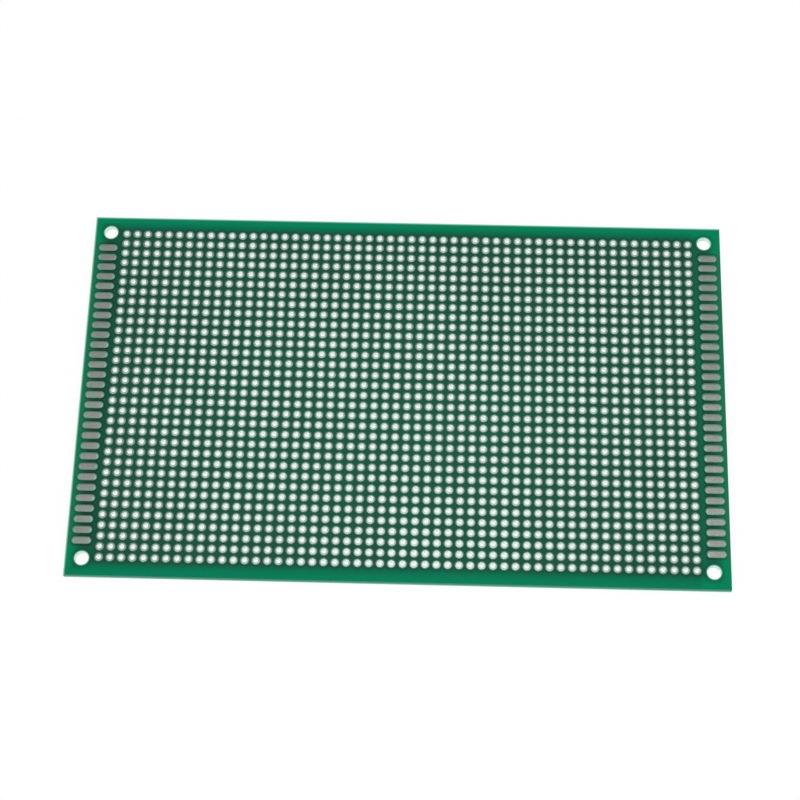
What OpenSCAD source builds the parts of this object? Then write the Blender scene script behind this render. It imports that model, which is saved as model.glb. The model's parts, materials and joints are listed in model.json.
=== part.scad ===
// Double-sided prototype board: a green glass-epoxy board with a grid of plated
// lead holes, a row of tinned fingers along each short side and four mounting
// holes. The origin is under the middle of the board, on the plane of the lower
// lands, which is the surface the board lies on. +Z is up.

/* [Board] */
// Length of the board, along X
board_length = 150; // [80:1:180]
// Width of the board, along Y
board_width = 90; // [50:1:110]
// Thickness of the laminate with its solder mask
board_thickness = 1.6; // [0.8:0.1:3.2]

/* [Lead holes] */
// Distance between neighbouring lead holes, and between neighbouring fingers
pitch = 2.54; // [2.4:0.01:4]
// Finished diameter of a lead hole, inside its plating
lead_hole_diameter = 1; // [0.7:0.05:1.3]
// Wall of the plated barrel that lines a lead hole
barrel_wall = 0.05; // [0.03:0.01:0.1]
// Diameter of the tinned land around a lead hole
land_diameter = 1.8; // [1.6:0.05:2.1]
// Least distance from a long edge of the board to the nearest land
land_to_edge = 3.3; // [2:0.1:10]

/* [Edge fingers] */
// Length of an edge finger, along X
finger_length = 4.3; // [3:0.1:6]
// Width of an edge finger, along Y
finger_width = 1.65; // [1:0.05:2]
// Distance from the left edge of the board to its fingers
left_finger_inset = 1.3; // [0.5:0.05:3]
// Distance from the right edge of the board to its fingers
right_finger_inset = 1; // [0.5:0.05:3]
// Least distance from a finger's inner end to the nearest land
finger_to_land = 1; // [0.5:0.1:5]

/* [Mounting holes] */
// Diameter of a mounting hole
mounting_hole_diameter = 3.2; // [2:0.1:4]
// Distance from a short edge to a mounting hole's centre
mounting_inset_x = 3.85; // [3:0.05:4.2]
// Distance from a long edge to a mounting hole's centre
mounting_inset_y = 4.05; // [3:0.05:5]
// Least distance from a mounting hole to the nearest finger
mounting_hole_to_finger = 1.5; // [0.5:0.1:5]

/* [Tinned copper] */
// Height of the lands and fingers above the board
land_height = 0.06; // [0.04:0.01:0.15]
// Gap between a plated barrel and the drilled board
barrel_gap = 0.01; // [0.005:0.005:0.02]

/* [Hidden] */
$fn = 48;
bore_radius = lead_hole_diameter / 2;
barrel_radius = bore_radius + barrel_wall;
land_radius = land_diameter / 2;

// The grid fills the board between the two rows of fingers
finger_band = max(left_finger_inset, right_finger_inset) + finger_length + finger_to_land;
columns = floor((board_length - 2 * (finger_band + land_radius)) / pitch) + 1;
rows = floor((board_width - 2 * (land_to_edge + land_radius)) / pitch) + 1;

// The fingers fill each short side between its two mounting holes
corner_band = mounting_inset_y + mounting_hole_diameter / 2 + mounting_hole_to_finger;
fingers = floor((board_width - 2 * corner_band - finger_width) / pitch) + 1;
left_finger_x = -board_length / 2 + left_finger_inset + finger_length / 2;
right_finger_x = board_length / 2 - right_finger_inset - finger_length / 2;

// The board lies between the lower and the upper lands
board_bottom = land_height;
board_top = board_bottom + board_thickness;
lands_top = board_top + land_height;

row_names = [for (row = [1 : rows]) str("pad_row_", row < 10 ? "0" : "", row)];

// Place of one of a number of items, spaced by the pitch about the middle
function place(item, count) = (item - (count + 1) / 2) * pitch;

// The drilled board, with its solder mask
module printed_board() {
    color("#0b6f4b")
        translate([0, 0, board_bottom])
            linear_extrude(board_thickness)
                difference() {
                    square([board_length, board_width], center = true);
                    lead_drillings();
                    mounting_drillings();
                }
}

module lead_drillings() {
    for (row = [1 : rows], column = [1 : columns])
        translate([place(column, columns), place(row, rows)])
            circle(r = barrel_radius + barrel_gap);
}

module mounting_drillings() {
    for (side_x = [-1, 1], side_y = [-1, 1])
        translate([
            side_x * (board_length / 2 - mounting_inset_x),
            side_y * (board_width / 2 - mounting_inset_y)
        ])
            circle(d = mounting_hole_diameter);
}

// The plated holes of one row, as separate pieces. Row 1 is nearest to -Y.
module pad_row(row) {
    color("#d5d9d6")
        for (column = [1 : columns])
            translate([place(column, columns), place(row, rows), 0])
                plated_hole();
}

// One plated hole: a barrel through the board, with a land on each face
module plated_hole() {
    rotate_extrude()
        polygon([
            [bore_radius, 0],
            [land_radius, 0],
            [land_radius, board_bottom],
            [barrel_radius, board_bottom],
            [barrel_radius, board_top],
            [land_radius, board_top],
            [land_radius, lands_top],
            [bore_radius, lands_top]
        ]);
}

// The fingers of one short side, on one face, as separate pieces
module finger_row(centre_x, bottom) {
    color("#96938d")
        for (finger = [1 : fingers])
            translate([centre_x, place(finger, fingers), bottom])
                linear_extrude(land_height)
                    finger_outline();
}

// A finger is a slot shape, with round ends
module finger_outline() {
    reach = (finger_length - finger_width) / 2;
    square([2 * reach, finger_width], center = true);
    for (end = [-reach, reach])
        translate([end, 0])
            circle(d = finger_width);
}

module left_fingers_top() {
    finger_row(left_finger_x, board_top);
}

module right_fingers_top() {
    finger_row(right_finger_x, board_top);
}

module left_fingers_bottom() {
    finger_row(left_finger_x, 0);
}

module right_fingers_bottom() {
    finger_row(right_finger_x, 0);
}

printed_board();
left_fingers_top();
right_fingers_top();
left_fingers_bottom();
right_fingers_bottom();
for (row = [1 : rows]) pad_row(row);
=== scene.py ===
"""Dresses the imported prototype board: solder mask, laminate and tinned copper.

Lengths are in metres, in the frame of the CAD model. Inside the materials they
are in millimetres, in the coordinates of the object, which has the same origin.
"""

import json
import math
import random

import bpy
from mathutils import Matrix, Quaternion, Vector


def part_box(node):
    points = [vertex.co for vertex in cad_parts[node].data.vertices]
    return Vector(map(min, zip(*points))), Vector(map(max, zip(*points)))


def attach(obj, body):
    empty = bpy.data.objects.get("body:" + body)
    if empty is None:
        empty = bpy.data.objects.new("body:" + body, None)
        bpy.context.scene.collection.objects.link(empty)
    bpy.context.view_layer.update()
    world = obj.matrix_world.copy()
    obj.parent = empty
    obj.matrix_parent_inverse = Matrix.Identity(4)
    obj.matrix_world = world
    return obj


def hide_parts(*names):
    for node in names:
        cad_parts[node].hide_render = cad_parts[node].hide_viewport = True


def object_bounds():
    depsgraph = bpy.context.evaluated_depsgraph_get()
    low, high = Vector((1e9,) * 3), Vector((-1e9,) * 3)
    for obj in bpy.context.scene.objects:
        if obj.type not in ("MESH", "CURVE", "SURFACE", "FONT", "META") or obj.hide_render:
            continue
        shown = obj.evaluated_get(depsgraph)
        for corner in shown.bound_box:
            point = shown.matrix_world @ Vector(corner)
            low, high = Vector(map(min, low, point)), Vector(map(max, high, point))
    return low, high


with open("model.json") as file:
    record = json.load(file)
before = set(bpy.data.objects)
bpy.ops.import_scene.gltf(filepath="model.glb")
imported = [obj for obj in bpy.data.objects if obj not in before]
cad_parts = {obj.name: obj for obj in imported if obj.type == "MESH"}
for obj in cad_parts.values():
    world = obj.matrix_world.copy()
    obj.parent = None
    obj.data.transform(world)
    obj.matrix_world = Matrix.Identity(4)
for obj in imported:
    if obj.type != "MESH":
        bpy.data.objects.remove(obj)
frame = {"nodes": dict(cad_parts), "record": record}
cad_low, cad_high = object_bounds()

MM = 0.001
BODY = "root"
BOARD = "printed_board"
ROWS = sorted(name for name in frame["nodes"] if name.startswith("pad_row_"))
FINGER_ROWS = sorted(name for name in frame["nodes"] if "_fingers_" in name)

# Heights of the two faces of the board, and of the tin on them
board_low, board_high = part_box(BOARD)
top = board_high.z
bottom = board_low.z
middle_height = (top + bottom) / 2
lands_top = cad_high.z
tin_height = lands_top - top

# Sizes of the grid of plated holes
first_low, first_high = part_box(ROWS[0])
last_low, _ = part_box(ROWS[-1])
rows = len(ROWS)
pitch = (last_low.y - first_low.y) / (rows - 1)
land_radius = (first_high.y - first_low.y) / 2
grid_length = first_high.x - first_low.x - 2 * land_radius
columns = round(grid_length / pitch) + 1
mounts = {mount["name"]: mount for mount in frame["record"]["mounts"]}
bore_radius = mounts["lead_hole"]["dims"]["r_mm"] * MM
barrel_wall = 0.05 * MM
barrel_radius = bore_radius + barrel_wall
corner_holes = mounts["mounting_holes"]["dims"]

# Sizes of the fingers. A row reaches over whole steps of the pitch and one
# finger's width.
finger_low, finger_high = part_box(FINGER_ROWS[0])
finger_length = finger_high.x - finger_low.x
finger_steps = math.floor((finger_high.y - finger_low.y) / pitch)
finger_width = finger_high.y - finger_low.y - finger_steps * pitch
finger_count = finger_steps + 1


def place(item, count):
    """Place of one of a number of items, counted from 0, about the middle."""
    return (item - (count - 1) / 2) * pitch


# ---------------------------------------------------------------- materials


class Paint:
    """A material, with short calls that add its nodes."""

    def __init__(self, name):
        self.material = bpy.data.materials.new(name)
        self.material.use_nodes = True
        self.tree = self.material.node_tree
        self.shader = self.tree.nodes["Principled BSDF"]
        self.output = self.tree.nodes["Material Output"]
        where = self.add("TexCoord").outputs["Object"]
        scaled = self.add("VectorMath", where, operation="SCALE")
        scaled.inputs["Scale"].default_value = 1 / MM
        self.point = scaled.outputs[0]
        axes = self.add("SeparateXYZ", self.point).outputs
        self.x, self.y, self.z = axes[0], axes[1], axes[2]

    def feed(self, socket, value):
        """Links a socket to another, or sets it."""
        if isinstance(value, bpy.types.NodeSocket):
            self.tree.links.new(value, socket)
        else:
            socket.default_value = value

    def add(self, kind, *values, **settings):
        """Adds a node, with values for its first sockets."""
        node = self.tree.nodes.new("ShaderNode" + kind)
        for name, setting in settings.items():
            setattr(node, name, setting)
        for socket, value in zip(node.inputs, values):
            self.feed(socket, value)
        return node

    def calc(self, operation, *values):
        return self.add("Math", *values, operation=operation).outputs[0]

    def chain(self, operation, values):
        """Works through the values two by two, from the first one on."""
        result = values[0]
        for value in values[1:]:
            result = self.calc(operation, result, value)
        return result

    def plus(self, *values):
        return self.chain("ADD", values)

    def times(self, *values):
        return self.chain("MULTIPLY", values)

    def least(self, *values):
        return self.chain("MINIMUM", values)

    def most(self, *values):
        return self.chain("MAXIMUM", values)

    def minus(self, value, less):
        return self.calc("SUBTRACT", value, less)

    def divide(self, value, divisor):
        return self.calc("DIVIDE", value, divisor)

    def absolute(self, value):
        return self.calc("ABSOLUTE", value)

    def length(self, across, along):
        squares = self.plus(self.times(across, across), self.times(along, along))
        return self.calc("SQRT", squares)

    def oval(self, centre_x, centre_y, reach_x, reach_y):
        """Distance from a centre: 1 is the reach, which differs along X and Y."""
        across = self.times(self.minus(self.x, centre_x), 1 / reach_x)
        along = self.times(self.minus(self.y, centre_y), 1 / reach_y)
        return self.length(across, along)

    def ease(self, value, start, end, low=0.0, high=1.0):
        """Goes smoothly from low to high as the value goes from start to end."""
        node = self.add("MapRange", value, start, end, low, high)
        node.interpolation_type = "SMOOTHSTEP"
        return node.outputs[0]

    def noise(self, scale, detail=2.0, stretch=(1, 1, 1)):
        """Soft noise from 0 to 1; its grains are about 1 / scale mm across."""
        where = self.add("VectorMath", self.point, stretch, operation="MULTIPLY")
        node = self.add("TexNoise")
        self.feed(node.inputs["Vector"], where.outputs[0])
        node.inputs["Scale"].default_value = scale
        node.inputs["Detail"].default_value = detail
        return node.outputs[0]

    def chance(self, across, along):
        """One random number from 0 to 1 for each place."""
        where = self.add("CombineXYZ", across, along).outputs[0]
        node = self.add("TexWhiteNoise", where, noise_dimensions="3D")
        return node.outputs["Value"]

    def vary(self, value, spread):
        """Turns a value from 0 to 1 into one about 0, as wide as the spread."""
        return self.times(self.minus(value, 0.5), spread)

    def ramp(self, value, *stops):
        """Colour from a row of stops, each a position and a colour."""
        node = self.add("ValToRGB", value)
        marks = node.color_ramp.elements
        while len(marks) < len(stops):
            marks.new(0.5)
        for mark, (position, colour) in zip(marks, stops):
            mark.position = position
            mark.color = (*colour, 1)
        return node.outputs[0]

    def mix(self, share, first, second, how="MIX"):
        """Mixes two colours: the node's inputs 6 and 7, into its output 2."""
        node = self.tree.nodes.new("ShaderNodeMix")
        node.data_type = "RGBA"
        node.blend_type = how
        self.feed(node.inputs[0], share)
        self.feed(node.inputs[6], first)
        self.feed(node.inputs[7], second)
        return node.outputs[2]

    def brightness(self, colour, value):
        """Multiplies a colour by a number."""
        node = self.add("VectorMath", colour, operation="SCALE")
        self.feed(node.inputs["Scale"], value)
        return node.outputs[0]

    def bump(self, height, distance):
        """Raises the surface by the height times the distance, in mm."""
        node = self.add("Bump")
        node.inputs["Strength"].default_value = 1
        node.inputs["Distance"].default_value = distance * MM
        self.feed(node.inputs["Height"], height)
        self.feed(self.shader.inputs["Normal"], node.outputs[0])

    def set(self, **values):
        """Sets sockets of the shader, by name with _ for a space."""
        for name, value in values.items():
            self.feed(self.shader.inputs[name.replace("_", " ")], value)

    def nearest(self, value, count):
        """Offset from the nearest of a row of places, and that place.

        The places are a pitch apart, about the middle. They are whole numbers
        of steps from it where the count is odd, and half a step off otherwise.
        """
        step_length = pitch / MM
        shift = (1 - count % 2) / 2
        last = (count - 1) / 2
        whole = self.calc("ROUND", self.minus(self.divide(value, step_length), shift))
        step = self.least(self.most(self.plus(whole, shift), -last), last)
        return self.minus(value, self.times(step, step_length)), step


# The mask's openings for the fingers, in mm: longer than the tin at each end,
# and a little out of place along Y
OPENING_LONGER = 0.10
OPENING_SHIFT = {"left_fingers_top": 0.08, "right_fingers_top": 0.17}

# The waves of the glass weave under the mask, in mm
WEAVE_WAVE = 0.55

# Bare glass-epoxy, as it shows beside the tin, at the cut edges and in the
# walls of the corner holes
BARE = (0.095, 0.270, 0.170, 1)
CUT_EDGE = (0.31, 0.62, 0.48, 1)
HOLE_WALL = (0.84, 0.98, 0.93, 1)

# Added to the mask: around the lands as painted light from the tin, and in the
# strips outside the fingers and between the fingers with their painted shade
TIN_LIGHT_TINT = (0.017, 0.010, 0.011, 1)
STRIP_SHADE_TINT = (0.013, 0.0, 0.003, 1)
BETWEEN_SHADE_TINT = (0.005, 0.0, 0.0, 1)

# Multiplies the tin of the lands: painted shade, and a painted reflection of the green
# mask
TIN_SHADE_AND_REFLECTION = (0.76, 0.81, 0.785, 1)

# Pale tin at the ends of the fingers, and copper that shows through their tin
PALE_TIN = (0.168, 0.300, 0.246, 1)
COPPER = (0.205, 0.160, 0.153, 1)


def finger_gap(paint, longer=0.0):
    """Distance in mm from the nearest opening for a finger.

    Also gives the distance along X from the middle of that row, and the place
    in the row.
    """
    across, step = paint.nearest(paint.y, finger_count)
    reach = (finger_length - finger_width) / 2 / MM + longer
    gaps = []
    spans = []
    for node, shift in OPENING_SHIFT.items():
        low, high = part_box(node)
        centre = (low.x + high.x) / 2 / MM
        span = paint.absolute(paint.minus(paint.x, centre))
        along = paint.most(paint.minus(span, reach), 0.0)
        centre_line = paint.length(along, paint.minus(across, shift))
        gaps.append(paint.minus(centre_line, finger_width / 2 / MM))
        spans.append(span)
    return paint.least(*gaps), paint.least(*spans), step


class Gaps:
    """Distances in mm from the tin, the edges and the corner holes."""

    def __init__(self, paint):
        across, _ = paint.nearest(paint.x, columns)
        along, _ = paint.nearest(paint.y, rows)
        self.land = paint.minus(paint.length(across, along), land_radius / MM)
        self.finger, self.finger_span, _ = finger_gap(paint, OPENING_LONGER)
        self.left = paint.plus(paint.x, cad_high.x / MM)
        self.right = paint.minus(cad_high.x / MM, paint.x)
        self.far = paint.minus(cad_high.y / MM, paint.y)
        self.near = paint.plus(paint.y, cad_high.y / MM)
        hole_x = paint.minus(paint.absolute(paint.x), corner_holes["spacing_x_mm"] / 2)
        hole_y = paint.minus(paint.absolute(paint.y), corner_holes["spacing_y_mm"] / 2)
        centre_gap = paint.length(hole_x, hole_y)
        self.corner_hole = paint.minus(centre_gap, corner_holes["hole_r_mm"])
        # 1 within the height of the rows of fingers, and 0 beyond them
        self.beside_fingers = paint.ease(paint.absolute(paint.y), 39.0, 37.0)


def mask_painted_light_and_tone(paint, gaps):
    """How light the mask is, from 0 to 1.

    It is painted light and shade: lighter where light comes through the laminate
    from its edges, and darker between the pieces of copper. It is also lighter
    near the middle, in the margin on the right and along the far edge, and darker
    along the near edge. Clouds and blotches vary it at random.
    """
    tin_gap = paint.least(gaps.land, gaps.finger)
    edge_gap = paint.least(gaps.left, gaps.right, gaps.far, gaps.near)
    middle = paint.oval(centre_x=0, centre_y=-12, reach_x=75, reach_y=50)
    in_row = paint.ease(gaps.finger_span, 2.5, 2.0)
    among_fingers = paint.times(gaps.beside_fingers, in_row)
    away_from_tin = paint.ease(tin_gap, 0.0, 1.1, 0.16, 0.40)
    near_an_edge = paint.ease(edge_gap, 3.8, 0.6, 0.0, 0.58)
    near_the_middle = paint.ease(middle, 1.1, 0.2, 0.0, 0.09)
    right_margin = paint.times(
        paint.ease(paint.x, 67.3, 69.2, 0.0, 0.17),
        paint.minus(1.0, paint.times(among_fingers, 0.8)),
    )
    far_margin = paint.ease(gaps.far, 2.0, 0.6, 0.0, 0.10)
    near_margin = paint.ease(gaps.near, 2.6, 1.0, 0.0, -0.09)
    clouds = paint.vary(paint.noise(0.06, 3.0), 0.14)
    blotches = paint.vary(paint.noise(1.3), 0.10)
    return paint.plus(
        away_from_tin,
        near_an_edge,
        near_the_middle,
        right_margin,
        far_margin,
        near_margin,
        clouds,
        blotches,
    )


def mask_colour(paint, gaps, weave):
    """Colour of the faces: the green mask, its openings and its bare rims."""
    mask = paint.ramp(
        mask_painted_light_and_tone(paint, gaps),
        (0.1, (0.0070, 0.042, 0.0275)),
        (0.4, (0.0080, 0.097, 0.054)),
        (0.6, (0.0028, 0.138, 0.068)),
        (1.0, (0.0010, 0.216, 0.098)),
    )
    # Painted light from the tin: greyer around each land, and less so where the
    # grid ends
    beside_grid = paint.most(
        paint.minus(paint.absolute(paint.x), place(columns - 1, columns) / MM),
        paint.minus(paint.absolute(paint.y), place(rows - 1, rows) / MM),
    )
    painted_tin_light = paint.times(
        paint.ease(gaps.land, 0.60, 0.15),
        paint.ease(beside_grid, 0.2, 1.1, 1.0, 0.1),
    )
    mask = paint.mix(painted_tin_light, mask, TIN_LIGHT_TINT, "ADD")

    # Painted shade: redder and darker in the narrow strips outside the fingers and
    # between the fingers. Darker around the corner holes
    right_strip = paint.ease(gaps.right, 1.4, 0.9, 0.0, 1.0)
    left_strip = paint.ease(gaps.left, 1.6, 1.1, 0.0, 0.6)
    strip_shade = paint.times(paint.plus(right_strip, left_strip), gaps.beside_fingers)
    mask = paint.mix(strip_shade, mask, STRIP_SHADE_TINT, "ADD")
    between = paint.times(
        paint.ease(gaps.finger, 0.8, 0.3),
        paint.ease(gaps.finger_span, 2.4, 2.0),
    )
    shade = paint.plus(
        1.0,
        paint.times(between, -0.28),
        paint.times(strip_shade, -0.22),
        paint.ease(gaps.corner_hole, 1.4, 0.3, 0.0, -0.22),
    )
    mask = paint.brightness(mask, shade)
    mask = paint.mix(between, mask, BETWEEN_SHADE_TINT, "ADD")
    mask = paint.brightness(mask, paint.plus(1.0, paint.times(weave, 0.08)))

    # The mask stops a little before the tin and before the cut edges
    window = paint.plus(
        paint.ease(gaps.land, 0.20, 0.05),
        paint.ease(gaps.finger, 0.08, 0.0, 0.0, 0.85),
    )
    mask = paint.mix(window, mask, BARE)
    rim = paint.plus(
        paint.ease(paint.least(gaps.left, gaps.far), 0.44, 0.04),
        paint.ease(paint.least(gaps.right, gaps.near), 0.12, 0.0, 0.0, 0.3),
        paint.ease(gaps.corner_hole, 0.32, 0.04, 0.0, 0.6),
    )
    return paint.mix(rim, mask, CUT_EDGE)


def wall_colour(paint, gaps):
    """Colour of the cut walls: resin, with the ends of glass strands in layers.

    It is lighter near the surface that the board lies on, which is painted light
    from that surface, and in the corner holes.
    """
    layers = paint.noise(5.0, 3.0, stretch=(0.6, 0.6, 4.0))
    strands = paint.noise(2.2, 4.0, stretch=(1.0, 1.0, 0.4))
    grain = paint.plus(paint.times(layers, 0.7), paint.times(strands, 0.3))
    # Painted light from the floor: lighter towards the lower face
    painted_floor_light = paint.ease(paint.z, top / MM, bottom / MM, -0.5, 0.5)
    cut = paint.ramp(
        paint.plus(paint.times(grain, 0.6), 0.2, paint.times(painted_floor_light, 0.8)),
        (0.1, (0.045, 0.26, 0.17)),
        (0.5, (0.13, 0.38, 0.28)),
        (0.9, (0.34, 0.60, 0.50)),
    )
    return paint.mix(paint.ease(gaps.corner_hole, 0.5, 0.2), cut, HOLE_WALL)


def make_board_paint():
    """Green solder mask on both faces, and bare glass-epoxy on the cut walls."""
    paint = Paint("solder_mask_on_laminate")
    gaps = Gaps(paint)
    turns = 2 * math.pi / WEAVE_WAVE
    weft = paint.calc("SINE", paint.times(paint.x, turns))
    warp = paint.calc("SINE", paint.times(paint.y, turns))
    weave = paint.times(weft, warp)
    normal = paint.add("SeparateXYZ", paint.add("NewGeometry").outputs["True Normal"])
    face = paint.ease(paint.absolute(normal.outputs[2]), 0.3, 0.7)
    wall = wall_colour(paint, gaps)
    mask = mask_colour(paint, gaps, weave)
    paint.set(
        Base_Color=paint.mix(face, wall, mask),
        Roughness=paint.plus(
            paint.ease(face, 0.0, 1.0, 0.7, 0.28),
            paint.times(paint.noise(0.4), 0.08),
        ),
        Specular_IOR_Level=0.02,
    )
    ripple = paint.plus(paint.noise(1.6), paint.times(weave, 0.12))
    paint.bump(ripple, distance=0.008)
    return paint.material


def make_land_paint():
    """Bright tin on the plated holes, each a little different from the next."""
    paint = Paint("tinned_lands")
    across, column = paint.nearest(paint.x, columns)
    along, row = paint.nearest(paint.y, rows)
    radius = paint.length(across, along)

    # Goes from 0 at the bore to 1 at the rim, and starts lower on the lower face
    share = paint.plus(
        paint.ease(radius, bore_radius / MM, land_radius / MM),
        paint.ease(paint.z, 1.0, 0.5, 0.0, -0.06),
    )
    on_land = paint.ease(share, 0.0, 0.03)

    # Painted light: darker towards the two ends of the board, and a painted highlight
    # near its front. Painted reflection: the outer part of each land is brighter
    # towards ±Y and darker towards ±X.
    front = paint.oval(centre_x=9, centre_y=-42, reach_x=44, reach_y=30)
    not_zero = paint.plus(radius, 0.001)
    toward_y = paint.divide(paint.absolute(along), not_zero)
    left_end_shade = paint.ease(paint.x, -35.0, -64.0, 0.0, -0.14)
    right_end_shade = paint.ease(paint.x, 28.0, 55.0, 0.0, -0.07)
    painted_front_highlight = paint.ease(front, 1.0, 0.0, 0.0, 0.24)
    painted_y_side_sheen = paint.times(
        paint.ease(toward_y, 0.3, 0.9, -0.10, 0.13),
        paint.ease(radius, 0.60, 0.75),
    )
    each_land = paint.vary(paint.chance(column, row), 0.08)
    blotches = paint.vary(paint.noise(1.6), 0.06)
    clouds = paint.vary(paint.noise(0.05), 0.08)
    tone_and_painted_light = paint.plus(
        left_end_shade,
        right_end_shade,
        painted_front_highlight,
        painted_y_side_sheen,
        each_land,
        blotches,
        clouds,
    )

    # Bright low in the bore, and darker and greener at its mouth and on the lands:
    # painted shade, and a painted reflection of the green mask
    tin = paint.ramp(
        share,
        (0.0, (0.99, 0.995, 0.99)),
        (0.01, (0.43, 0.53, 0.49)),
        (0.06, (0.41, 0.485, 0.455)),
        (0.32, (0.326, 0.390, 0.368)),
        (1.0, (0.254, 0.322, 0.300)),
    )
    # Painted shade and reflection: the lands and the upper bore are made darker and
    # greener
    tin_shade_share = paint.most(on_land, paint.ease(paint.z, 0.45, 1.05))
    tin = paint.mix(tin_shade_share, tin, TIN_SHADE_AND_REFLECTION, "MULTIPLY")
    paint.set(
        Base_Color=paint.brightness(tin, paint.plus(1.0, paint.times(tone_and_painted_light, on_land))),
        Metallic=1.0,
        Roughness=paint.plus(
            paint.ease(share, 0.0, 0.3, 0.07, 0.26),
            paint.times(paint.noise(3.0, 3.0), 0.08),
        ),
    )
    ripple = paint.times(paint.noise(1.5), paint.ease(share, 0.0, 0.2))
    paint.bump(ripple, distance=0.004)
    return paint.material


def make_finger_paint():
    """Satin tin on the edge fingers, with a darker rim that the mask laps over."""
    paint = Paint("tinned_fingers")
    gap, span, row = finger_gap(paint)
    inside = paint.times(gap, -1.0)
    side = paint.calc("SIGN", paint.x)

    # Painted light: the tin of the right rows is brighter towards their near end.
    # All of the tin has streaks along the fingers
    painted_near_end_light = paint.times(
        paint.ease(paint.x, -1.0, 1.0),
        paint.ease(paint.y, 35.0, -35.0, 0.0, 0.1),
    )
    each_finger = paint.vary(paint.chance(row, side), 0.10)
    smears = paint.vary(paint.noise(1.2, 3.0, stretch=(0.35, 1, 1)), 0.30)
    streaks = paint.vary(paint.noise(14.0, stretch=(0.08, 1, 1)), 0.15)
    tone_and_painted_light = paint.plus(1.0, painted_near_end_light, each_finger, smears, streaks)

    # The mask laps a little over one long side, and the tin is pale at the ends. The
    # grey of the tin is painted shade, for the darker light that a flat finger reflects
    tin = paint.ramp(
        paint.plus(0.2, paint.divide(inside, 0.75)),
        (0.0, (0.016, 0.08, 0.048)),
        (0.2, (0.080, 0.137, 0.109)),
        (0.4, (0.128, 0.186, 0.160)),
        (0.7, (0.170, 0.201, 0.181)),
        (1.0, (0.176, 0.178, 0.165)),
    )
    ends = paint.ease(span, 1.35, 2.0, 0.0, 0.6)
    tin = paint.mix(ends, tin, PALE_TIN)

    # Thin tin lets a little of the copper through in places
    copper = paint.times(
        paint.ease(paint.noise(0.9, stretch=(0.3, 1.6, 1)), 0.50, 0.68),
        paint.ease(inside, 0.25, 0.60),
        0.6,
    )
    tin = paint.mix(copper, tin, COPPER)
    paint.set(
        Base_Color=paint.brightness(tin, tone_and_painted_light),
        Metallic=1.0,
        Roughness=paint.ease(paint.noise(2.0, 3.0), 0.3, 0.7, 0.30, 0.44),
    )
    paint.bump(paint.noise(6.0, stretch=(0.2, 1, 1)), distance=0.003)
    return paint.material


# -------------------------------------------------------------------- pieces

# Edges that turn more than this stay sharp, like the mouth of each bore
SHARP_ANGLE = math.radians(45)

# Sides of a plated hole, and corners at each rounded end of a finger
HOLE_SIDES = 18
END_CORNERS = 9

# A land's least radius and its tin's least height, as shares of the full ones
LEAST_LAND = 0.985
LEAST_TIN = 0.88

# Section of the tin on a land: shares of the way in from the rim to the bore,
# and of the height
LAND_SECTION = ((0.0, 0.0), (0.07, 0.62), (0.30, 0.96), (0.58, 1.0), (0.88, 0.66))

# Section of the rolled rim of a finger: mm in from the edge, and shares of the
# height
FINGER_SECTION = ((0.0, 0.0), (0.02, 0.55), (0.08, 0.86), (0.20, 0.97), (0.45, 1.0))


def add_piece(name, vertices, faces, material, node):
    """Adds a piece that stands for a CAD node."""
    mesh = bpy.data.meshes.new(name)
    mesh.from_pydata(vertices, [], faces)
    mesh.shade_smooth()
    mesh.set_sharp_from_angle(angle=SHARP_ANGLE)
    mesh.materials.append(material)
    piece = bpy.data.objects.new(name, mesh)
    bpy.context.scene.collection.objects.link(piece)
    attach(piece, BODY)
    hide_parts(node)


def hole_section(rng):
    """Section of one plated hole, from its upper rim round to its lower one.

    Each land is a low dome of tin that rolls into the bore. The outer wall of
    the barrel closes the section.
    """
    rim = land_radius * rng.uniform(LEAST_LAND, 1.0)
    lift = tin_height * rng.uniform(LEAST_TIN, 1.0)
    width = rim - bore_radius
    upper = [(rim - share * width, top + height * lift) for share, height in LAND_SECTION]
    upper.append((bore_radius, top))
    lower = [(radius, 2 * middle_height - height) for radius, height in reversed(upper)]
    return [*upper, *lower, (barrel_radius, bottom), (barrel_radius, top)]


def make_pad_row(number, node, material):
    """The plated holes of one row of the grid."""
    rng = random.Random(number)
    centre_y = place(number, rows)
    vertices = []
    faces = []
    for column in range(columns):
        centre_x = place(column, columns)
        section = hole_section(rng)
        size = len(section)
        start = len(vertices)
        for turn in range(HOLE_SIDES):
            angle = 2 * math.pi * turn / HOLE_SIDES
            here = start + turn * size
            after = start + (turn + 1) % HOLE_SIDES * size
            for point, (radius, height) in enumerate(section):
                vertices.append((
                    centre_x + radius * math.cos(angle),
                    centre_y + radius * math.sin(angle),
                    height,
                ))
                other = (point + 1) % size
                faces.append((here + other, here + point, after + point, after + other))
    add_piece(f"plated_{node}", vertices, faces, material, node)


def finger_ring(centre, inset, height):
    """Outline of a finger, drawn in from its edge by the inset."""
    radius = finger_width / 2 - inset
    reach = (finger_length - finger_width) / 2
    ring = []
    for side, first in ((1, -math.pi / 2), (-1, math.pi / 2)):
        for corner in range(END_CORNERS):
            angle = first + math.pi * corner / (END_CORNERS - 1)
            ring.append((
                centre[0] + side * reach + radius * math.cos(angle),
                centre[1] + radius * math.sin(angle),
                height,
            ))
    return ring


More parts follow.
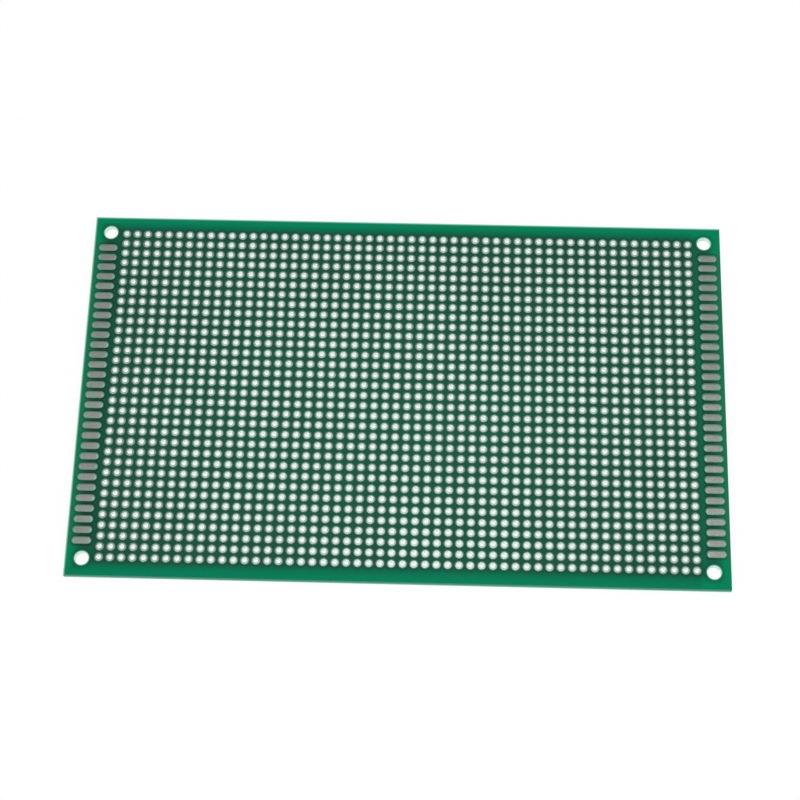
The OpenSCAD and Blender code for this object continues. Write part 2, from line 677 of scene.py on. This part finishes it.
def make_finger_row(node, material):
    """The tinned fingers of one short side on one face, with rolled rims."""
    low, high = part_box(node)
    middle_x = (low.x + high.x) / 2
    upper_face = low.z > middle_height
    foot = low.z if upper_face else high.z
    out = 1 if upper_face else -1
    vertices = []
    faces = []
    for finger in range(finger_count):
        centre = (middle_x, place(finger, finger_count))
        rings = []
        for inset, height in FINGER_SECTION:
            level = foot + out * height * tin_height
            ring = finger_ring(centre, inset * MM, level)
            rings.append(range(len(vertices), len(vertices) + len(ring)))
            vertices.extend(ring)
        for inner, outer in zip(rings[1:], rings):
            for corner in range(len(outer)):
                after = (corner + 1) % len(outer)
                faces.append((outer[corner], outer[after], inner[after], inner[corner]))
        crown = tuple(rings[-1])
        base = tuple(rings[0])
        faces.extend((crown, base[::-1]))
    if not upper_face:
        faces = [face[::-1] for face in faces]
    add_piece(f"tinned_{node}", vertices, faces, material, node)


board_paint = make_board_paint()
land_paint = make_land_paint()
finger_paint = make_finger_paint()

for name, node in frame["nodes"].items():
    paint = board_paint
    if name in ROWS:
        paint = land_paint
    if name in FINGER_ROWS:
        paint = finger_paint
    for slot in node.material_slots:
        slot.material = paint

for number, name in enumerate(ROWS):
    make_pad_row(number, name, land_paint)
for name in FINGER_ROWS:
    make_finger_row(name, finger_paint)


# ----------------------------------------------------- floor, lights, camera

# The floor's reach each way, its drop below the lowest tin, and the share of
# it that glows for rays that look at it
FLOOR_REACH = 4
FLOOR_DROP = 0.01 * MM
FLOOR_GLOW = 0.92


def grey(value):
    return (value, value, value, 1)


def looking_rays(tree):
    """1 for rays that look at a surface or the world, 0 for those that light."""
    path = tree.nodes.new("ShaderNodeLightPath").outputs
    seen = path["Is Camera Ray"]
    for kind in ("Is Glossy Ray", "Is Transmission Ray"):
        most = tree.nodes.new("ShaderNodeMath")
        most.operation = "MAXIMUM"
        tree.links.new(seen, most.inputs[0])
        tree.links.new(path[kind], most.inputs[1])
        seen = most.outputs[0]
    return seen


def make_floor():
    """A plain white floor that keeps a faint shadow, just under the board."""
    level = cad_low.z - FLOOR_DROP
    corners = [
        (-FLOOR_REACH, -FLOOR_REACH, level),
        (FLOOR_REACH, -FLOOR_REACH, level),
        (FLOOR_REACH, FLOOR_REACH, level),
        (-FLOOR_REACH, FLOOR_REACH, level),
    ]
    mesh = bpy.data.meshes.new("floor")
    mesh.from_pydata(corners, [], [(0, 1, 2, 3)])
    floor = bpy.data.objects.new("floor", mesh)
    bpy.context.scene.collection.objects.link(floor)
    paint = Paint("white_floor")
    paint.set(Base_Color=grey(0.96), Roughness=1.0, Specular_IOR_Level=0.0)
    glow = paint.add("Emission")
    glow.inputs["Strength"].default_value = 1
    share = paint.times(looking_rays(paint.tree), FLOOR_GLOW)
    blend = paint.add("MixShader", share, paint.shader.outputs[0], glow.outputs[0])
    paint.feed(paint.output.inputs["Surface"], blend.outputs[0])
    mesh.materials.append(paint.material)


def make_world(ambient):
    """Even white light, which the camera and gloss see at full strength."""
    world = bpy.data.worlds.new("studio")
    world.use_nodes = True
    bpy.context.scene.world = world
    tree = world.node_tree
    background = tree.nodes["Background"]
    background.inputs["Color"].default_value = grey(1)
    level = tree.nodes.new("ShaderNodeMapRange")
    level.inputs["To Min"].default_value = ambient
    level.inputs["To Max"].default_value = 1
    tree.links.new(looking_rays(tree), level.inputs["Value"])
    tree.links.new(level.outputs[0], background.inputs["Strength"])


def add_lamp(name, position, size, power):
    """A square soft lamp that faces the middle of the board."""
    lamp = bpy.data.lights.new(name, "AREA")
    lamp.shape = "SQUARE"
    lamp.size = size
    lamp.energy = power
    item = bpy.data.objects.new(name, lamp)
    item.location = position
    item.rotation_mode = "QUATERNION"
    item.rotation_quaternion = Vector(position).to_track_quat("Z", "Y")
    bpy.context.scene.collection.objects.link(item)


def add_camera(aim, distance, azimuth, elevation, roll, lens):
    """A camera at that distance from the aim. Azimuth 0 looks along +Y."""
    turn = math.radians(azimuth)
    rise = math.radians(elevation)
    back = Vector((
        math.sin(turn) * math.cos(rise),
        -math.cos(turn) * math.cos(rise),
        math.sin(rise),
    ))
    data = bpy.data.cameras.new("camera")
    data.lens = lens
    data.clip_start = 0.01
    data.clip_end = 20
    camera = bpy.data.objects.new("camera", data)
    camera.location = aim + distance * back
    camera.rotation_mode = "QUATERNION"
    tilt = Quaternion((0, 0, 1), math.radians(roll))
    camera.rotation_quaternion = back.to_track_quat("Z", "Y") @ tilt
    bpy.context.scene.collection.objects.link(camera)
    bpy.context.scene.camera = camera


make_floor()
make_world(ambient=0.55)
add_lamp("key", (-0.55, -0.45, 0.85), size=1.2, power=4.6)
add_lamp("fill", (0.85, 0.0, 0.65), size=1.2, power=3.4)
add_lamp("top", (0.01, 0.20, 0.95), size=0.45, power=1.15)
add_camera(
    aim=Vector((-0.000395, -0.00098, lands_top)),
    distance=0.4598,
    azimuth=3.37,
    elevation=68.1,
    roll=-1.915,
    lens=89.1,
)
bpy.context.scene.view_settings.view_transform = "Standard"
